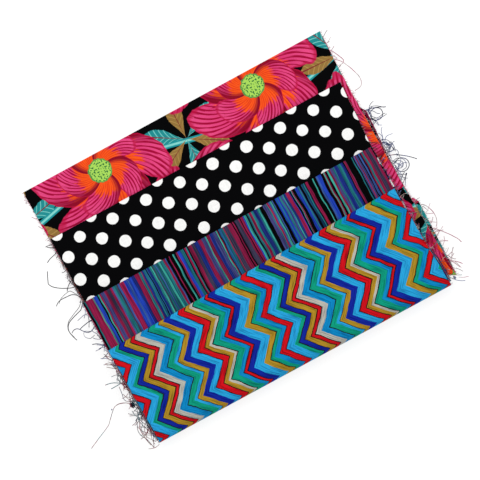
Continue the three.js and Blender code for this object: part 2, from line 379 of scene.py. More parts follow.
# Loose yarns. Each row of LONG_YARNS stands where a yarn of the solids does: back is where
# it leaves the edge, heading its first direction in degrees, 0 being straight out and plus
# towards the back, and bends the length of each stretch of it, in turn, with the degrees
# that it turns there in each millimetre.
LOOSE_WIDTH = 1.2
LOOSE_GAP = 0.3
SAG_REACH = 15.0
LONG_YARNS = (
    dict(cut="dot", side=-1, back=111, heading=80, bends=((9, -8.5), (6, -1), (6, -8))),
    dict(cut="dot", side=-1, back=120, heading=8, bends=((6, 3), (7, 1.5), (5, 5), (1.5, 35), (8, 0))),
    dict(cut="dot", side=-1, back=125, heading=-20, bends=((8, -5),)),
    dict(cut="dot", side=-1, back=147, heading=-60, bends=((2.5, 20), (4, -3), (3, -4))),
    dict(cut="dot", side=-1, back=150, heading=30, bends=((5, 2),)),
    dict(
        cut="dot",
        side=-1,
        back=109,
        heading=-50,
        bends=((5, 0), (2, 18), (9, -0.5), (5, -8), (4, -9), (7, -3)),
    ),
    dict(cut="stripe", side=-1, back=95, heading=-5, bends=((9, -1),)),
    dict(
        cut="stripe",
        side=-1,
        back=90,
        heading=-45,
        bends=((4, 10), (4, 14), (4, 0), (3.5, -16), (3, -14)),
    ),
    dict(cut="stripe", side=-1, back=76, heading=50, bends=((8, -4),)),
    dict(cut="zigzag", side=-1, back=58, heading=30, bends=((7, 2),)),
    dict(cut="zigzag", side=-1, back=46, heading=40, bends=((7, -1), (7, -4))),
    dict(cut="zigzag", side=-1, back=48, heading=-6, bends=((10, 0.6),)),
    dict(
        cut="zigzag",
        side=-1,
        back=30,
        heading=40,
        bends=((7, -1), (6, -5), (5, -9), (10, -1), (2, 12), (19, 0)),
    ),
    dict(cut="zigzag", side=-1, back=25, heading=-10, bends=((5, -14), (6, 3), (4, -8), (11, -1))),
    dict(cut="floral", side=1, back=178.5, heading=-55, bends=((10, -1.5), (3, -32), (3.4, 3))),
    dict(
        cut="floral",
        side=1,
        back=171.5,
        heading=-40,
        bends=((6, -4), (12, -1), (6, -5), (5, -14), (3, 0)),
    ),
    dict(cut="stripe", side=1, under=True, back=131.5, heading=-6, bends=((5, -3), (8, -1))),
    dict(cut="stripe", side=1, under=True, back=128.5, heading=25, bends=((3, 0), (24, -13.6))),
    dict(cut="stripe", side=1, under=True, back=107, heading=-28, bends=((10, -7),)),
    dict(cut="stripe", side=1, under=True, back=97, heading=-12, bends=((6, -4), (13, -0.8))),
    dict(cut="stripe", side=1, under=True, back=91, heading=20, bends=((3.1, 0), (26, -12.2))),
    dict(cut="stripe", side=1, under=True, back=76.5, heading=35, bends=((7, 2),)),
    dict(cut="floral", side=1, under=True, back=57.5, heading=-35, bends=((3, -8), (9, -3.5), (8, -6))),
    dict(cut="floral", side=1, under=True, back=39.5, heading=-45, bends=((16, -0.8), (5, -4))),
    dict(cut="floral", side=1, under=True, back=29.5, heading=-15, bends=((5, -5),)),
    dict(cut="floral", side=1, under=True, back=14, heading=50, bends=((4, 2), (6, -2))),
    dict(cut="floral", side=1, back=17, heading=-60, bends=((10, -0.5),)),
    dict(cut="floral", side=1, back=15, heading=-25, bends=((9, -3),)),
)

# Shorter loose yarns by the edge that they leave, the darker and the paler ones, each
# through a few points: how far out from the edge, and how far back
FINE_YARNS = (
    dict(
        cut="zigzag",
        side=-1,
        dark=(
            ((5.9, 22), (7.8, 17.5), (9.2, 14), (8.8, 10), (6.6, 6), (5.2, -1)),
            ((5.2, -1), (3.6, 2.5), (2.4, 5), (0.8, 8)),
            ((9.3, 27.5), (7.7, 26.2), (5, 25), (1, 22.5)),
            ((5.2, 21.2), (4.9, 18), (3.9, 14), (2.3, 9.4), (0.8, 5)),
            ((5.6, 46.4), (6.2, 41.4), (6.9, 38), (6.3, 35.8), (3.9, 34)),
            ((4.5, 52), (3, 48), (1.6, 43), (0.5, 38)),
            ((3, 63), (1.6, 57), (2.4, 53), (0.5, 50)),
            ((1.2, 30), (3, 26), (4.4, 21), (2.8, 16), (0.8, 13)),
        ),
        pale=(
            ((9, 10.6), (6.2, 9.4), (3, 7.5), (0.8, 6)),
            ((7.9, 15.6), (6.2, 12), (3.7, 9.4), (0.8, 8)),
            ((8.9, 0), (6.4, -0.9), (3.9, -1.3), (0.8, -0.6)),
            ((5.8, 40.8), (4.5, 37), (3.3, 34.5), (0.8, 33)),
            ((2, 57), (3.5, 51), (2.6, 45), (0.5, 41)),
            ((6, 28), (5.5, 24), (3.2, 20), (0.5, 17)),
            ((0.8, 27), (4.2, 17), (6.6, 14), (6, 8), (2, 2)),
        ),
    ),
    dict(
        cut="dot",
        side=-1,
        dark=(
            ((0.5, 112), (4.5, 107), (11, 104), (16.5, 101), (19, 96), (17.6, 90)),
            ((0.5, 121), (2, 115), (5, 119), (8.4, 119), (13, 117.6), (16, 115)),
            ((1, 130), (2.6, 127), (1.6, 123), (0.5, 120)),
            ((0.5, 133), (2.4, 132.4), (4.2, 132.6)),
        ),
    ),
    dict(
        cut="stripe",
        side=-1,
        dark=(((0.5, 90), (4, 88.5), (8, 90.5), (9.6, 87.5), (7, 84.5), (3, 85)),),
    ),
    dict(
        cut="stripe",
        side=1,
        under=True,
        dark=(
            ((0.5, 92), (4.6, 93), (8.4, 90), (7.8, 85), (4, 84)),
            ((0.5, 90), (4.2, 91.4), (7, 88.6), (5, 86), (1, 87)),
            ((0.5, 109.4), (4, 107), (6.2, 102), (5.8, 97.6)),
            ((0.5, 130.6), (4, 132), (8, 130.6), (12, 127.4)),
        ),
        pale=(
            ((1.5, 89), (2.4, 86), (4, 89.6), (5, 86.4), (6.4, 88.6)),
            ((5.6, 81.4), (3.4, 78), (1.4, 74.2)),
            ((0.5, 104), (2.4, 106), (4, 103.6), (2, 101), (0.5, 99)),
        ),
    ),
    dict(
        cut="zigzag",
        side=1,
        pale=(
            ((0.5, 28.6), (4, 29.3), (7.5, 30.8)),
            ((0.8, 16.5), (2.6, 17.7), (5, 15.8), (7.8, 13.5)),
            ((3.4, 18), (5, 18.8), (7.2, 19)),
            ((0.5, 7.7), (3.2, 6.2), (6.2, 4.6), (9.7, 2.7)),
        ),
    ),
    dict(cut="stripe", side=1, pale=(((0.5, 5), (3.2, 1.5), (6.3, -0.8), (8.3, -1.7)),)),
    dict(
        cut="floral",
        side=1,
        under=True,
        dark=(((1.6, 8.5), (3.2, 7), (5, 4.4)),),
        pale=(
            ((3.2, 12.7), (4.2, 10), (5, 7.2)),
            ((0.5, 2.4), (3.2, 0.8), (6.8, -0.4)),
        ),
    ),
    dict(cut="dot", side=1, dark=(((0, 111), (2.6, 110), (5.4, 107.6)),)),
)

# The cuts whose longest yarns are among their darker ones
DARK_LONG = ("dot", "stripe")

# Yarns that lie along a raw edge, each along a stretch of it
EDGE_YARNS = (
    dict(cut="floral", side=-1, dark=False, back=(106, 158), out=-0.15),
    dict(cut="floral", side=-1, dark=False, back=(104, 158), out=-0.55),
    dict(cut="zigzag", side=-1, dark=True, back=(4, 64), out=1.5),
    dict(cut="zigzag", side=-1, dark=False, back=(8, 60), out=0.6),
    dict(cut="zigzag", side=1, dark=True, back=(5, 26), out=0.5),
    dict(cut="zigzag", side=1, dark=False, back=(4, 22), out=1.0),
    dict(cut="stripe", side=1, dark=True, back=(6, 24), out=0.2),
)

# Small knots of yarn: how far out and back their middles lie, and how large they are
KNOTS = (
    dict(cut="zigzag", side=-1, dark=True, out=3.8, back=31.2, radius=2.2, turns=60),
    dict(cut="zigzag", side=-1, dark=True, out=3.4, back=32.5, radius=3.2, turns=14),
    dict(cut="zigzag", side=-1, dark=True, out=17.6, back=35.2, radius=0.6, turns=9),
    dict(cut="floral", side=1, dark=True, out=0.4, back=139.5, radius=0.7, turns=9),
    dict(cut="stripe", side=1, dark=False, out=3.0, back=3.6, radius=1.9, turns=18),
    dict(cut="stripe", side=1, dark=False, under=True, out=3.0, back=104, radius=3.2, turns=14),
)

# Where many yarns have come loose beside each other, with the range of their lengths and
# the most degrees that they turn in each millimetre
TANGLES = (
    dict(cut="floral", side=-1, back=(160, 188), count=3, length=(1.5, 4), curl=8),
    dict(cut="floral", side=1, back=(150, 190), count=5, length=(1.5, 5), curl=8),
    dict(cut="floral", side=1, back=(20, 140), count=8, length=(2, 5), curl=14),
    dict(cut="floral", side=1, under=True, back=(16, 62), count=14, length=(2, 8), curl=10),
    dict(cut="dot", side=-1, back=(92, 155), count=9, length=(2, 6), curl=9),
    dict(cut="dot", side=1, back=(84, 150), count=8, length=(2, 4), curl=20),
    dict(cut="stripe", side=-1, back=(58, 104), count=12, length=(3, 9), curl=10),
    dict(cut="stripe", side=1, back=(56, 104), count=10, length=(2, 5), curl=20),
    dict(cut="stripe", side=1, under=True, back=(119, 134), count=10, length=(5, 12), curl=22),
    dict(cut="stripe", side=1, under=True, back=(95, 109), count=9, length=(5, 13), curl=22),
    dict(cut="stripe", side=1, under=True, back=(78, 95), count=9, length=(5, 14), curl=16),
    dict(cut="zigzag", side=-1, back=(26, 68), count=24, length=(4, 8), curl=14),
    dict(cut="zigzag", side=-1, back=(10, 26), count=6, length=(5, 12), curl=9),
    dict(cut="zigzag", side=-1, under=True, back=(12, 30), count=10, length=(6, 12), curl=9),
    dict(cut="zigzag", side=1, back=(12, 70), count=14, length=(3, 7), curl=18),
)

# How the loose yarns run. A waver is in degrees a millimetre, and a reach is how far past
# the strips a yarn goes until it has sagged.
FIRST_SEED = 31
PHASES = (0, 100)
YARN_STEP = 0.8
YARN_ROOT = 2.0
YARN_RADIUS = 0.19
LONG_RADIUS = 0.27
LONG_WAVER = 5
WAVER_LENGTH = 3.0
DARK_SHARE = 0.55
FINE_STEPS = 5
FINE_REACH = 9.0
EDGE_STRAY = 0.5
STRAY_LENGTH = 4.0
EDGE_RISE = LEG_THICK / 2 + YARN_RADIUS
KNOT_CORE = 0.4
KNOT_FLATNESS = 0.6
TANGLE_BENDS = 3
TANGLE_WAVER = 12
TANGLE_HEADINGS = (10, 85)
TANGLE_REACHES = (8, 16)

# The fringe. Its steps are the lengths of edge for one yarn, on each layer
FRINGE_RADIUS = 0.09
FRINGE_STEPS = (1.1, 2.4, 2.4, 1.3)
FRINGE_LENGTH = 0.55
SHORTEST_FRINGE = 0.3
LONGEST_FRINGE = 2.6
FRINGE_ROOT = 0.5
FRINGE_LEAN = 0.35
FRINGE_RISE = 0.18
FRINGE_MIDDLE = 0.55
FRINGE_ARCH = 0.3

# Edges that have frayed least have this share of the fringe
FRINGE_SHARES = {("zigzag", 1): 0.35, ("stripe", 1): 0.6, ("dot", 1): 0.6}


def sagged(side, point, reach):
    """Past the furthest strip on its side, a loose yarn sags until it lies on the table."""
    key = "left" if side < 0 else "right"
    furthest = max(side * row[key] for cut in CUTS for row in cut["edges"])
    out = max(0.0, side * point.x - furthest - LOOSE_GAP - LOOSE_WIDTH)
    share = math.exp(-((out / reach) ** 2))
    return Vector((point.x, point.y, lerp(LONG_RADIUS, point.z, share)))


def beside(row, x, y, reach=SAG_REACH, rise=0.0):
    """A point of a loose yarn at x, and y back from the front edge."""
    level = LEVELS[row["cut"]]
    if row.get("under"):
        place = underneath(max(y, TURN_RADIUS), inner_leg(level))
    else:
        place = on_top(max(y, TURN_RADIUS), outer_leg(level) + rise)
    point = placed(x, place)
    point.y = y - STACK_DEPTH / 2
    return sagged(row["side"], point, reach)


def edge_beside(row, back):
    run = -back if row.get("under") else back
    return cloth_edge(CUTS[LEVELS[row["cut"]]], row["side"], run)


def yarn_route(row, draw, waver, reach=SAG_REACH):
    """The points of a loose yarn, from inside its edge to its free end."""
    side, y, direction = row["side"], row["back"], row["heading"]
    phase = draw.uniform(*PHASES)
    edge = edge_beside(row, y)
    x = edge + side * (LOOSE_GAP + LOOSE_WIDTH / 2)
    points = [beside(row, edge - side * YARN_ROOT, y, reach), beside(row, x, y, reach)]
    along = 0.0
    for length, curl in row["bends"]:
        steps = max(1, round(length / YARN_STEP))
        stride = length / steps
        for _ in range(steps):
            along += stride
            stray = waver * noise.noise(Vector((phase + along / WAVER_LENGTH, 0, 0)))
            turn = (curl + stray) * stride
            heading = math.radians(direction + turn / 2)
            x += side * stride * math.cos(heading)
            y += stride * math.sin(heading)
            direction += turn
            points.append(beside(row, x, y, reach))
    return points


def curve_through(points):
    """More points on a smooth curve through a few."""
    ends = [2 * points[0] - points[1], *points, 2 * points[-1] - points[-2]]
    route = []
    for a, b, c, d in zip(ends, ends[1:], ends[2:], ends[3:]):
        bend, twist = 2 * a - 5 * b + 4 * c - d, 3 * b - a - 3 * c + d
        for t in spaced(0, 1, FINE_STEPS)[:-1]:
            route.append(b + ((c - a) * t + bend * t**2 + twist * t**3) / 2)
    return route + [points[-1]]


def fine_route(row, via):
    points = []
    for out, back in via:
        x = edge_beside(row, back) + row["side"] * out
        points.append(beside(row, x, back, FINE_REACH))
    return curve_through(points)


def edge_route(row, draw):
    """A yarn that lies along a raw edge."""
    start, end = row["back"]
    phase = draw.uniform(*PHASES)
    points = []
    for back in spaced(start, end, round(end - start)):
        stray = EDGE_STRAY * noise.noise(Vector((phase + back / STRAY_LENGTH, 0, 0)))
        x = edge_beside(row, back) + row["side"] * (row["out"] + stray)
        points.append(beside(row, x, back, rise=EDGE_RISE))
    return points


def knot(row, draw):
    """A yarn that winds about one place."""
    middle_x = edge_beside(row, row["back"]) + row["side"] * row["out"]
    middle = beside(row, middle_x, row["back"], FINE_REACH)
    points = []
    for _ in range(row["turns"]):
        way = Vector([draw.gauss(0, 1) for _ in range(3)]).normalized()
        point = middle + way * row["radius"] * draw.uniform(KNOT_CORE, 1.0)
        point.z = lerp(middle.z, point.z, KNOT_FLATNESS)
        points.append(Vector((point.x, point.y, max(point.z, LONG_RADIUS))))
    return curve_through(points)


def tangle(row, draw):
    """Routes of the yarns of one row of TANGLES."""
    routes = []
    for _ in range(row["count"]):
        length = draw.uniform(*row["length"])
        curls = [draw.uniform(-row["curl"], row["curl"]) for _ in range(TANGLE_BENDS)]
        yarn = dict(
            row,
            back=draw.uniform(*row["back"]),
            heading=draw.choice((-1, 1)) * draw.uniform(*TANGLE_HEADINGS),
            bends=[(length / TANGLE_BENDS, curl) for curl in curls],
        )
        routes.append(yarn_route(yarn, draw, TANGLE_WAVER, draw.uniform(*TANGLE_REACHES)))
    return routes


def fringe(cut, level, draw):
    """The cut ends of the yarns along both raw edges of every layer, as short routes."""
    routes = []
    rows = folded_rows(cut, level)
    for (layer, place), (next_layer, next_place) in zip(rows, rows[1:]):
        for u, side in ((0.0, -1), (1.0, 1)):
            start, _ = laid(cut, level, layer, u, place(u))
            end, _ = laid(cut, level, next_layer, u, next_place(u))
            share = FRINGE_SHARES.get((cut["name"], side), 1.0)
            count = share * (end - start).length / FRINGE_STEPS[layer]
            for _ in range(int(count + draw.random())):
                root = start.lerp(end, draw.random())
                length = min(LONGEST_FRINGE, draw.expovariate(1 / FRINGE_LENGTH))
                reach = SHORTEST_FRINGE + length
                lean = (end - start).normalized() * draw.gauss(0, FRINGE_LEAN)
                rise = Vector((0, 0, draw.gauss(0, FRINGE_RISE)))
                out = Vector((side, 0, 0))
                tip = root + (out + lean + rise) * reach
                middle = root.lerp(tip, FRINGE_MIDDLE) + rise * FRINGE_ARCH * reach
                route = [root - out * FRINGE_ROOT, middle, tip]
                routes.append([Vector((p.x, p.y, max(p.z, FRINGE_RADIUS))) for p in route])
    return routes


def yarns_of(cut, level):
    """All the loose yarns of a cut as one piece of thin tubes."""
    draw = random.Random(FIRST_SEED + level)
    curve = bpy.data.curves.new(f"{cut['name']}_yarns", "CURVE")
    curve.dimensions = "3D"
    curve.bevel_depth = MM
    curve.bevel_resolution = 0
    curve.use_fill_caps = True
    for kind in YARN_SHADES[cut["name"]]:
        curve.materials.append(yarn_finish(cut["name"], kind))

    def add(route, radius, dark=False):
        spline = curve.splines.new("POLY")
        spline.material_index = 1 if dark else 0
        spline.points.add(len(route) - 1)
        for point, co in zip(spline.points, route):
            point.co = (*(co * MM), 1)
            point.radius = radius

    def own(rows):
        return [row for row in rows if row["cut"] == cut["name"]]

    for row in own(LONG_YARNS):
        add(yarn_route(row, draw, LONG_WAVER), LONG_RADIUS, dark=cut["name"] in DARK_LONG)
    for row in own(FINE_YARNS):
        for kind in ("dark", "pale"):
            for via in row.get(kind, ()):
                add(fine_route(row, via), YARN_RADIUS, dark=kind == "dark")
    for row in own(EDGE_YARNS):
        add(edge_route(row, draw), YARN_RADIUS, row["dark"])
    for row in own(KNOTS):
        add(knot(row, draw), YARN_RADIUS, row["dark"])
    for row in own(TANGLES):
        for route in tangle(row, draw):
            add(route, YARN_RADIUS, dark=draw.random() < DARK_SHARE)
    for route in fringe(cut, level, draw):
        add(route, FRINGE_RADIUS)
    yarns = bpy.data.objects.new(f"{cut['name']}_yarns", curve)
    bpy.context.scene.collection.objects.link(yarns)
    make_active(yarns)
    bpy.ops.object.convert(target="MESH")
    yarns = bpy.context.active_object
    bpy.ops.object.shade_smooth()
    return yarns


# Shader maths, written as expressions on sockets


# The studio's light is this much brighter than what shows as white, so that the table does
STUDIO_LIGHT = 1.15


def colour(code):
    """The surface colour that shows as a six-digit sRGB code in the studio's light."""
    channels = [int(code[i : i + 2], 16) / 255 for i in (0, 2, 4)]
    linear = [c / 12.92 if c <= 0.04045 else ((c + 0.055) / 1.055) ** 2.4 for c in channels]
    return (*(c / STUDIO_LIGHT for c in linear), 1.0)


class Field:
    """A shader socket that stands for a number in an expression."""

    def __init__(self, paint, socket):
        self.paint = paint
        self.socket = socket

    def math(self, operation, *others, swap=False):
        terms = [self, *others]
        if swap:
            terms.reverse()
        return self.paint.node("Math", dict(operation=operation), dict(enumerate(terms)))

    def __add__(self, other):
        return self.math("ADD", other)

    def __radd__(self, other):
        return self.math("ADD", other)

    def __sub__(self, other):
        return self.math("SUBTRACT", other)

    def __rsub__(self, other):
        return self.math("SUBTRACT", other, swap=True)

    def __mul__(self, other):
        return self.math("MULTIPLY", other)

    def __rmul__(self, other):
        return self.math("MULTIPLY", other)

    def __truediv__(self, other):
        return self.math("DIVIDE", other)

    def __abs__(self):
        return self.math("ABSOLUTE")


class Paint:
    """The nodes of one material."""

    def __init__(self, name):
        self.material = bpy.data.materials.new(name)
        self.material.use_nodes = True
        self.tree = self.material.node_tree
        self.tree.nodes.clear()

    def node(self, kind, settings=None, values=None, output=0):
        """Adds a node with its settings and its sockets' values or links."""
        made = self.tree.nodes.new(f"ShaderNode{kind}")
        for key, value in (settings or {}).items():
            if key == "stops":
                self.set_stops(made.color_ramp, value)
            elif key == "interpolation":
                made.color_ramp.interpolation = value
            else:
                setattr(made, key, value)
        for key, value in (values or {}).items():
            if isinstance(value, Field):
                self.tree.links.new(value.socket, made.inputs[key])
            else:
                made.inputs[key].default_value = value
        return Field(self, made.outputs[output])

    def set_stops(self, ramp, stops):
        while len(ramp.elements) > 1:
            ramp.elements.remove(ramp.elements[-1])
        for i, (position, shade) in enumerate(stops):
            element = ramp.elements[0] if i == 0 else ramp.elements.new(position)
            element.position = position
            element.color = shade

    def ramp(self, value, stops, interpolation="LINEAR"):
        settings = dict(stops=stops, interpolation=interpolation)
        return self.node("ValToRGB", settings, {"Fac": value})

    def mix(self, factor, a, b, blend="MIX"):
        settings = dict(data_type="RGBA", blend_type=blend)
        return self.node("Mix", settings, {0: factor, 6: a, 7: b}, output=2)

    def smooth(self, value, low, high):
        """0 at low, 1 at high, and smooth between."""
        values = {"Value": value, "From Min": low, "From Max": high}
        return self.node("MapRange", dict(interpolation_type="SMOOTHSTEP"), values)

    def vector(self, x, y, z=0.0):
        return self.node("CombineXYZ", values={0: x, 1: y, 2: z})

    def parts(self, vector):
        split = self.tree.nodes.new("ShaderNodeSeparateXYZ")
        self.tree.links.new(vector.socket, split.inputs[0])
        return [Field(self, output) for output in split.outputs]

    def cloud(self, x, y, z=0.0, detail=2.0):
        """Soft noise about 0.5 with features one unit wide."""
        values = {"Vector": self.vector(x, y, z), "Scale": 1.0, "Detail": detail}
        return self.node("TexNoise", values=values)

    def drift(self, x, y, size, lengths, z=0.0):
        """Soft noise about 0, with features of these lengths."""
        return (self.cloud(x / lengths[0], y / lengths[1], z) - 0.5) * size

    def darken(self, shade, cover, tint):
        """A colour multiplied by a tint, as far as cover says."""
        return self.mix(cover, shade, self.mix(1.0, shade, colour(tint), "MULTIPLY"))

    def chance(self, x, y, z=0.0):
        """Three random numbers from 0 to 1 for each whole x, y and z."""
        settings = dict(noise_dimensions="3D")
        values = {"Vector": self.vector(x, y, z)}
        return self.parts(self.node("TexWhiteNoise", settings, values, output="Color"))

    def flat_cloth(self):
        """Millimetres across and along the flat cloth."""
        u, v, _ = self.parts(self.node("UVMap", dict(uv_map="flat")))
        return u / MM, v / MM

    def finish(self, values, bump=None, depth=0.0):
        """Ends the material in a Principled shader."""
        if bump is not None:
            relief = {"Height": bump, "Strength": 1.0, "Distance": depth * MM}
            values = {**values, "Normal": self.node("Bump", values=relief)}
        shader = self.node("BsdfPrincipled", values=values)
        output = self.tree.nodes.new("ShaderNodeOutputMaterial")
        self.tree.links.new(shader.socket, output.inputs["Surface"])
        return self.material


def from_centre(x, y):
    return (x * x + y * y).math("SQRT")


# The four prints. Each is a function from places on the flat cloth to a colour.
BLACK = "060607"
DOT_PITCH = 25.7
DOT_ROW = 8.65
DOT_RADIUS = 3.8
DOT_SPREAD = 0.3
DOT_STRAY = 0.8
DOT_SOFTNESS = 0.2
DOT_ORIGIN = (7.9, 149.4)


def polka_dots(paint, across, along):
    """White dots on black in staggered rows, each a little off its place."""
    cover = None
    uneven = paint.drift(across, along, size=0.65, lengths=(3.5, 3.5))
    for offset_across, offset_along in ((0.0, 0.0), (DOT_PITCH / 2, DOT_ROW)):
        column = (across - (DOT_ORIGIN[0] + offset_across)) / DOT_PITCH
        row = (along - (DOT_ORIGIN[1] + offset_along)) / (2 * DOT_ROW)
        nearest_column, nearest_row = column.math("ROUND"), row.math("ROUND")
        stray_across, stray_along, size = paint.chance(nearest_column, nearest_row, offset_along)
        x = (column - nearest_column) * DOT_PITCH + (stray_across - 0.5) * DOT_STRAY
        y = (row - nearest_row) * (2 * DOT_ROW) + (stray_along - 0.5) * DOT_STRAY
        distance = from_centre(x, y) + uneven - size * DOT_SPREAD
        inside = paint.smooth(distance, DOT_RADIUS + DOT_SOFTNESS, DOT_RADIUS)
        cover = inside if cover is None else cover.math("MAXIMUM", inside)
    white = paint.mix(paint.cloud(across / 2, along / 2), colour("ECECEA"), colour("FBFBF9"))
    return paint.mix(cover, colour(BLACK), white)


# The stripes: their mean width, how fast black ones grow more likely to the right, and the
# colours, each from its share of the chances on
STRIPE_MEAN = 2.6
BLACK_SHARE = 0.34
STRIPE_SHADES = (
    (0.00, "1F5F6A"),
    (0.07, "3C3850"),
    (0.15, "861C42"),
    (0.27, "24608E"),
    (0.34, "9A1F4B"),
    (0.46, "44467C"),
    (0.52, "23747C"),
    (0.58, "1E3080"),
    (0.66, "941E48"),
    (0.76, "2344B4"),
    (0.84, "7A1C3E"),
    (0.91, "1F2C74"),
    (0.96, "34304C"),
)

# Two sets of finer lines over them. Width is half a line, as a share of the mean distance.
STRIPE_LINES = (
    dict(mean=3.3, seed=57.0, width=0.22, share=0.5),
    dict(mean=4.1, seed=23.0, width=0.11, share=0.55),
)
LINE_SHADES = (
    (0.00, "3FA898"),
    (0.16, "8E1C45"),
    (0.42, "23747C"),
    (0.58, "3A5A9C"),
    (0.76, BLACK),
)


def narrow_stripes(paint, across, along):
    """Uneven stripes along the cloth that waver a little, with more black to the right."""
    waver = paint.drift(across, along, size=4.0, lengths=(30, 34))
    shiver = paint.drift(across, along, size=1.3, lengths=(4, 12))
    place = across + waver + shiver

    def stripes(mean, seed, output):
        values = {"W": place / mean + seed, "Scale": 1.0, "Randomness": 1.0}
        return paint.node("TexVoronoi", dict(voronoi_dimensions="1D"), values, output=output)

    def ramp(value, shades):
        return paint.ramp(value, [(at, colour(code)) for at, code in shades], "CONSTANT")

    rightward = across / CUT_WIDTH + 0.5
    chance, second, _ = paint.parts(stripes(STRIPE_MEAN, 0.0, "Color"))
    shade = ramp(chance, STRIPE_SHADES)
    black = paint.smooth(second - rightward * BLACK_SHARE, 0.07, 0.06)
    shade = paint.mix(black, shade, colour(BLACK))
    for row in STRIPE_LINES:
        chance, second, _ = paint.parts(stripes(row["mean"], row["seed"], "Color"))
        middle = stripes(row["mean"], row["seed"], "Distance")
        line = paint.smooth(middle, row["width"], row["width"] * 0.7)
        line = line * paint.smooth(second, row["share"] + 0.02, row["share"])
        shade = paint.mix(line, shade, ramp(chance, LINE_SHADES))
    streaks = paint.cloud(across / 0.7, along / 22, detail=4.0)
    return paint.darken(shade, paint.smooth(streaks, 0.4, 0.65), "B8B8C4")


ZIGZAG_HALF_PERIOD = 14.3
ZIGZAG_SWING = 12.5
KEYLINE = 0.8
KEYLINE_SHADE = "1C1418"

# One repeat of the zigzag bands in two halves, because a ramp holds no more colours. Each
# band is its colour, its width, and whether it ends in a dark line.
ZIGZAG_BANDS = (
    (
        ("D0131E", 4.8, True),
        ("2AA4DC", 6.2, False),
        ("109B7C", 3.6, True),
        ("14289A", 4.2, True),
        ("B08A28", 5.0, True),
        ("D0131E", 3.2, True),
        ("B9B7AC", 4.4, False),
        ("1088C4", 6.4, True),
        ("109B7C", 4.8, False),
        ("2AA4DC", 3.2, True),
        ("B08A28", 3.8, False),
        ("14289A", 5.2, False),
    ),
    (
        ("2AA4DC", 5.8, True),
        ("D0131E", 5.4, True),
        ("B08A28", 3.4, False),
        ("B9B7AC", 3.0, True),
        ("109B7C", 5.2, False),
        ("1088C4", 4.2, True),
        ("D0131E", 2.8, True),
        ("14289A", 4.4, False),
        ("2AA4DC", 7.0, False),
        ("B08A28", 5.6, True),
        ("109B7C", 3.0, False),
        ("1088C4", 4.8, True),
    ),
)


def bands_of(paint, place, bands, total):
    """The colour of bands beside each other, at a share of their total width."""
    stops, edge = [], 0.0
    for code, width, lined in bands:
        stops.append((edge / total, colour(code)))
        edge += width
        if lined:
            stops.append(((edge - KEYLINE) / total, colour(KEYLINE_SHADE)))
    return paint.ramp(place, stops, "CONSTANT")


def zigzag_bands(paint, across, along):
    """Plain bands that zigzag along the cloth, drawn by a slightly unsteady hand."""
    totals = [sum(width for _, width, _ in bands) for bands in ZIGZAG_BANDS]
    stray = paint.drift(across, along, size=5.0, lengths=(30, 30), z=5.0)
    swing = (along + stray).math("PINGPONG", ZIGZAG_HALF_PERIOD)
    swing = swing * (ZIGZAG_SWING / ZIGZAG_HALF_PERIOD)
    waver = paint.drift(across, along, size=1.6, lengths=(6, 9))
    shiver = paint.drift(across, along, size=0.35, lengths=(1.5, 1.5), z=3.0)
    place = ((across + swing + waver + shiver) / sum(totals)).math("FRACT") * sum(totals)
    first = bands_of(paint, place / totals[0], ZIGZAG_BANDS[0], totals[0])
    second = bands_of(paint, (place - totals[0]) / totals[1], ZIGZAG_BANDS[1], totals[1])
    shade = paint.mix(place.math("GREATER_THAN", totals[0]), first, second)
    strokes = paint.cloud((across + swing) / 0.9, along / 9, 7.0, detail=3.0)
    return paint.darken(shade, paint.smooth(strokes, 0.4, 0.7), "C0C4D0")


# The flowers stand in rows, every other row half a pitch over, with sprigs of leaves between
BLOOM_PITCH = (124.0, 116.0)
BLOOM_ORIGIN = (-63.0, 181.0)
BLOOM_RADIUS = 50.0
BLOOM_STRAY = 10.0
PETALS = 6
INNER_PETALS = 5
INNER_SHARE = 0.62
INNER_TURN = 0.4
HEART_SHARE = 0.17
PETAL_TWIST = 0.9
SPRIG_ORIGIN = (-1.0, 172.0)
SPRIG_RADIUS = 30.0
SPRIG_STRAY = 8.0
LEAVES = 6
STEM_SWING = 8
STEM_LENGTH = 33
CELL_SEED = 0.37


def in_cell(paint, across, along, origin, pitch, stray):
    """Places about the nearest of a grid of centres, and that centre's random numbers."""
    column = (across - origin[0]) / pitch[0]
    row = (along - origin[1]) / pitch[1]
    nearest_column, nearest_row = column.math("ROUND"), row.math("ROUND")
    chances = paint.chance(nearest_column, nearest_row, CELL_SEED)
    x = (column - nearest_column) * pitch[0] + (chances[0] - 0.5) * stray
    y = (row - nearest_row) * pitch[1] + (chances[1] - 0.5) * stray
    return x, y, chances


def whorl(x, y, count, turn, twist=0.0):
    """Distance from the centre, and the place across the nearest of count petals, -0.5 to
    0.5, with that petal's number."""
    distance = from_centre(x, y)
    angle = y.math("ARCTAN2", x) * (count / (2 * math.pi)) + turn + distance * twist
    number = angle.math("FLOOR")
    return distance, angle - number - 0.5, number


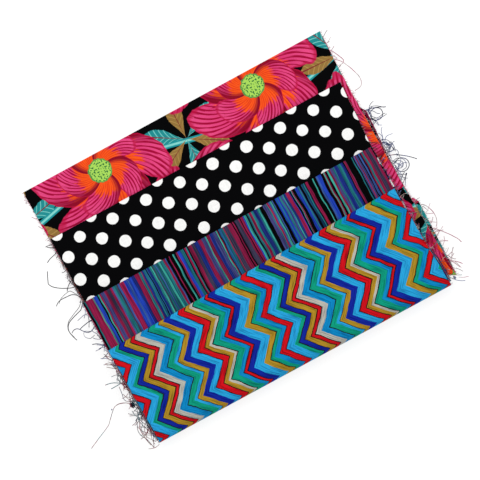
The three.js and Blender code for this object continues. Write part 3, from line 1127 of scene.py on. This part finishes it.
def petals(paint, ground, x, y, radius, count, turn, seed):
    """A ring of veined petals over a ground colour."""
    distance, side, number = whorl(x, y, count, turn, PETAL_TWIST / radius)
    far = distance / radius
    ruffle = paint.drift(x, y, size=0.14, lengths=(9, 9), z=seed)
    notch = abs(side) * abs(side) * 1.5
    outline = far + notch + ruffle
    inside = paint.smooth(outline, 1.0, 0.985)
    fray = paint.cloud(side * 26, number * 3 + far * 2.5, seed)
    veins = abs((side * 11 + (fray - 0.5) * 1.2).math("FRACT") - 0.5)
    vein = paint.smooth(veins, 0.27, 0.15) * paint.smooth(fray + (1 - far) * 0.35, 0.34, 0.52)
    pink = paint.mix(paint.smooth(far, 0.35, 0.95), colour("CF2F69"), colour("E24A82"))
    shade = paint.mix(vein, pink, colour("A00B36"))
    flame = paint.smooth(far + (fray - 0.5) * 0.5, 0.56, 0.52)
    orange = paint.mix(vein * 0.75, colour("F4581C"), colour("D5301C"))
    shade = paint.mix(flame, shade, orange)
    fold = paint.smooth(side + (fray - 0.5) * 0.25, 0.16, 0.46)
    shade = paint.mix(fold, shade, colour("860A26"))
    rim = paint.smooth(outline, 0.93, 0.97)
    shade = paint.mix(rim * 0.75, shade, colour("B5123F"))
    return paint.mix(inside, ground, shade)


def sprigs(paint, ground, x, y, radius, turn):
    """A ring of pointed leaves, tan and teal by turns, over a ground colour."""
    distance, side, number = whorl(x, y, LEAVES, turn)
    far = distance / radius
    lobe = (far * math.pi).math("SINE").math("POWER", 0.8) * 0.3
    ragged = paint.drift(x, y, size=0.08, lengths=(3, 3))
    inside = paint.smooth(abs(side) + ragged, lobe, lobe - 0.02) * paint.smooth(far, 1.0, 0.97)
    parity = (number * 0.5).math("FRACT") * 2
    leaf = paint.mix(parity, colour("8F6F3A"), colour("23898C"))
    light = paint.mix(parity, colour("B08C4E"), colour("7FCFC6"))
    ribs = abs(((far * 7) - abs(side) * 5).math("FRACT") - 0.5)
    shade = paint.mix(paint.smooth(ribs, 0.14, 0.06) * 0.8, leaf, light)
    shade = paint.mix(paint.smooth(abs(side), 0.022, 0.012), shade, colour("7A2A2C"))
    return paint.mix(inside, ground, shade)


def heart(paint, ground, x, y, radius):
    """A lime flower centre with dark green flecks."""
    distance = from_centre(x, y) + paint.drift(x, y, size=2.5, lengths=(3, 3))
    flecks = paint.cloud(x / 1.1, y / 1.1, 3.0, detail=0.0)
    lime = paint.mix(paint.smooth(flecks, 0.56, 0.62), colour("A6D65C"), colour("2C6E3C"))
    lime = paint.mix(paint.smooth(distance, radius - 1.4, radius - 0.6), lime, colour("4E8F4A"))
    return paint.mix(paint.smooth(distance, radius, radius - 0.4), ground, lime)


def flowers(paint, across, along):
    """Large open flowers, leaf sprigs and stems on black."""
    swing = (across / STEM_LENGTH).math("SINE") * STEM_SWING
    wave = (swing + along - SPRIG_ORIGIN[1]) / BLOOM_PITCH[1]
    off_stem = abs(wave - wave.math("ROUND")) * BLOOM_PITCH[1]
    stem = paint.mix(paint.smooth(off_stem, 1.0, 0.5), colour("1F8F95"), colour("7FCFC6"))
    shade = paint.mix(paint.smooth(off_stem, 2.1, 1.8), colour(BLACK), stem)
    x, y, chances = in_cell(paint, across, along, SPRIG_ORIGIN, BLOOM_PITCH, SPRIG_STRAY)
    shade = sprigs(paint, shade, x, y, SPRIG_RADIUS, chances[2] * LEAVES)
    half = (BLOOM_ORIGIN[0] + BLOOM_PITCH[0] / 2, BLOOM_ORIGIN[1] + BLOOM_PITCH[1] / 2)
    for origin, seed in ((half, 5.0), (BLOOM_ORIGIN, 0.0)):
        x, y, chances = in_cell(paint, across, along, origin, BLOOM_PITCH, BLOOM_STRAY)
        turn = chances[2] * PETALS
        shade = petals(paint, shade, x, y, BLOOM_RADIUS, PETALS, turn, seed)
        inner = BLOOM_RADIUS * INNER_SHARE
        shade = petals(paint, shade, x, y, inner, INNER_PETALS, turn + INNER_TURN, seed + 2)
        shade = heart(paint, shade, x, y, BLOOM_RADIUS * HEART_SHARE)
    return shade


PRINTS = {
    "floral": flowers,
    "dot": polka_dots,
    "stripe": narrow_stripes,
    "zigzag": zigzag_bands,
}

# The cotton's finish: its weave, and how far each side's print fades to undyed yarn
YARN_PITCH = 0.38
SLUB = (0.5, 9)
SIDES = dict(right=0.0, wrong=0.62, raw=0.4)
UNDYED = "E9E4DA"


def cotton(name, side):
    """One side of a printed cotton: its print, plain weave and slightly uneven yarns. The
    print shows through on the wrong side, and paler yarn ends show at the raw edges."""
    paint = Paint(f"{name}_cotton_{side}")
    across, along = paint.flat_cloth()
    shade = PRINTS[name](paint, across, along)
    if SIDES[side]:
        shade = paint.mix(SIDES[side], shade, colour(UNDYED))
    warp = paint.cloud(across / SLUB[0], along / SLUB[1], detail=1.0)
    weft = paint.cloud(across / SLUB[1], along / SLUB[0], 4.0, detail=1.0)
    yarns = warp + weft
    shade = paint.darken(shade, paint.smooth(yarns, 0.72, 1.28) * 0.16, "B4B4B4")
    turns = math.pi / YARN_PITCH
    weave = (across * turns).math("SINE") * (along * turns).math("SINE")
    values = {"Base Color": shade, "Roughness": 0.9, "Specular IOR Level": 0.02}
    return paint.finish(values, weave * 0.5 + yarns, depth=0.05)


# The colours of the loose yarns of each cut, and those of its darker ones
YARN_SHADES = {
    "floral": dict(
        loose=("B46C80", "C49CA6", "CFC0C0", "8C7A7E"),
        dark=("A8989C", "A86A7A", "94888C", "6E6064"),
    ),
    "dot": dict(
        loose=("77777C", "3A3A40", "A8A8AA", "26262A"),
        dark=("222226", "101012", "3C3C42", "18181C"),
    ),
    "stripe": dict(
        loose=("5C648C", "2C3354", "7C86A8", "3A4A88"),
        dark=("1C2140", "101426", "2C3870", "161A30"),
    ),
    "zigzag": dict(
        loose=("7A2A3A", "A8A29C", "8E3C4A", "5A7A80"),
        dark=("14206A", "101216", "7A1230", "14202C"),
    ),
}
SPOT = 11.0
FIRST_STOP = 0.36
STOP_STEP = 0.09
TWIST = (0.12, 0.3)


def yarn_finish(name, kind):
    """Loose yarns, which carry spots of the print along their length."""
    paint = Paint(f"{name}_yarn_{kind}")
    place = paint.node("TexCoord", output="Object")
    x, y, z = [field / MM for field in paint.parts(place)]
    spots = paint.cloud(x / SPOT, y / SPOT, z / SPOT, detail=1.0)
    codes = YARN_SHADES[name][kind]
    stops = [(FIRST_STOP + STOP_STEP * i, colour(code)) for i, code in enumerate(codes)]
    shade = paint.ramp(spots, stops)
    twist = paint.cloud(x / TWIST[0], y / TWIST[1], z / TWIST[0], detail=0.0)
    values = {"Base Color": shade, "Roughness": 0.85, "Specular IOR Level": 0.1}
    return paint.finish(values, twist, depth=0.03)


for level, cut in enumerate(CUTS):
    name = cut["name"]
    cloth, length = folded_cloth(cut, level)
    for side in SIDES:
        cloth.data.materials.append(cotton(name, side))
    yarns = yarns_of(cut, level)
    strips = [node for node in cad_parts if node.startswith(f"loose_{name}_")]
    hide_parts(f"cut_{name}")
    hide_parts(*strips)
    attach(cloth, "root")
    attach(yarns, "root")


# The table, the light and the camera
TABLE_SIZE = 6.0
TABLE_SHADE = 0.28
TABLE_GLOW = 0.76
WORLD_LIGHT = 0.9


def plain_table():
    deselect()
    bpy.ops.mesh.primitive_plane_add(size=TABLE_SIZE)
    table = bpy.context.active_object
    table.name = "table"
    paint = Paint("table_white")
    values = {
        "Base Color": (TABLE_SHADE, TABLE_SHADE, TABLE_SHADE, 1.0),
        "Roughness": 0.95,
        "Specular IOR Level": 0.0,
        "Emission Color": (1.0, 1.0, 1.0, 1.0),
        "Emission Strength": TABLE_GLOW,
    }
    table.data.materials.append(paint.finish(values))


# The photo's raw edges lie this many of its pixels apart on the lowest cut
PHOTO_TURN = math.radians(28.4)
PHOTO_WIDTH = 480
EDGES_APART = 337.5
MM_PER_PIXEL = CUT_WIDTH / EDGES_APART
VIEW_CENTRE = (-0.37, -1.96)
CAMERA_HEIGHT = 8.0
SENSOR = 36.0


def soft_light(name, power, size, offset, height):
    """A square soft light over the stack. offset is its place in the photo's own right and
    up directions."""
    right = Vector((math.cos(PHOTO_TURN), -math.sin(PHOTO_TURN), 0))
    up = Vector((math.sin(PHOTO_TURN), math.cos(PHOTO_TURN), 0))
    data = bpy.data.lights.new(name, "AREA")
    data.energy = power
    data.size = size
    light = bpy.data.objects.new(name, data)
    bpy.context.scene.collection.objects.link(light)
    light.location = right * offset[0] + up * offset[1] + Vector((0, 0, height))
    light.rotation_euler = (-light.location).to_track_quat("-Z", "Y").to_euler()


def studio():
    soft_light("window", power=14.0, size=1.4, offset=(-0.2, 0.8), height=1.3)
    world = bpy.data.worlds.new("studio")
    world.use_nodes = True
    background = world.node_tree.nodes["Background"]
    background.inputs["Color"].default_value = (1, 1, 1, 1)
    background.inputs["Strength"].default_value = WORLD_LIGHT
    bpy.context.scene.world = world
    bpy.context.scene.view_settings.view_transform = "Standard"
    bpy.context.scene.view_settings.look = "None"


def photo_camera():
    data = bpy.data.cameras.new("photo")
    data.sensor_width = SENSOR
    data.lens = SENSOR * CAMERA_HEIGHT / (PHOTO_WIDTH * MM_PER_PIXEL * MM)
    camera = bpy.data.objects.new("photo", data)
    bpy.context.scene.collection.objects.link(camera)
    camera.location = (VIEW_CENTRE[0] * MM, VIEW_CENTRE[1] * MM, CAMERA_HEIGHT)
    camera.rotation_euler = (0, 0, -PHOTO_TURN)
    data.clip_end = 2 * CAMERA_HEIGHT
    bpy.context.scene.camera = camera


plain_table()
studio()
photo_camera()
